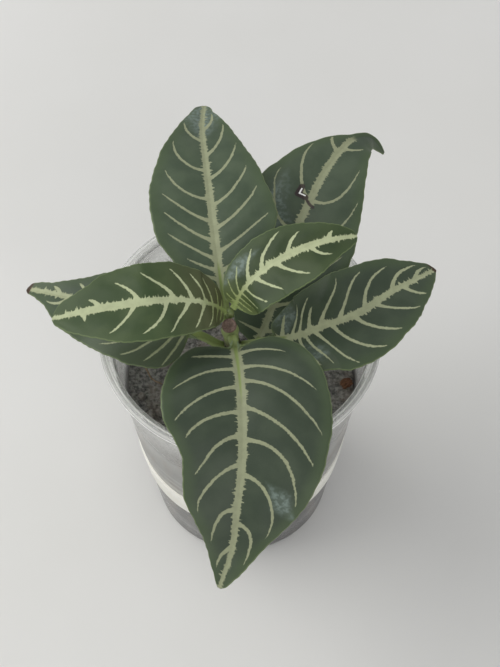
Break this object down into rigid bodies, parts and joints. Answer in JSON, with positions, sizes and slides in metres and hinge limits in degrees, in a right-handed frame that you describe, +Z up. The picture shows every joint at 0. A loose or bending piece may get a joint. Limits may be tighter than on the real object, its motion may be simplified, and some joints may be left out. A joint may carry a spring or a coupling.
{
  "type": "potted zebra plant",
  "caption": "Young zebra plant with dark, pale-veined leaves on a short cut stem, growing in a clear tapered plastic cup of potting mix.",
  "frame": {"origin": "middle of the cup's flat underside, on the surface that it stands on", "axes": "+Z up along the cup's axis, -Y towards the front leaf, +X to the right of it"},
  "size_m": [0.1387, 0.1692, 0.1691],
  "materials": {
    "clear_plastic": "clear, slightly hazy from handling",
    "pale_film": "blank pale film, satin",
    "potting_mix": "dark crumbly peat mix",
    "bark": "rough orange-brown bark",
    "dry_root": "dry tan rootlet",
    "stem": "green-brown stem with a brown healed cut",
    "young_stem": "yellow-green young shoot",
    "grown_leaf": "dark glossy green with cream veins",
    "young_leaf": "glossy mid green with cream veins"
  },
  "bodies": {
    "root": {"pot": "clear_plastic", "label_band": "pale_film", "soil": "potting_mix", "bark_chip": "bark", "rootlet": "dry_root", "stem": "stem", "young_shoot": "young_stem", "front_leaf": "grown_leaf", "back_leaf": "grown_leaf", "back_right_leaf": "grown_leaf", "right_leaf": "grown_leaf", "lower_left_leaf": "grown_leaf", "young_left_leaf": "young_leaf", "young_right_leaf": "young_leaf"}
  },
  "joints": []
}
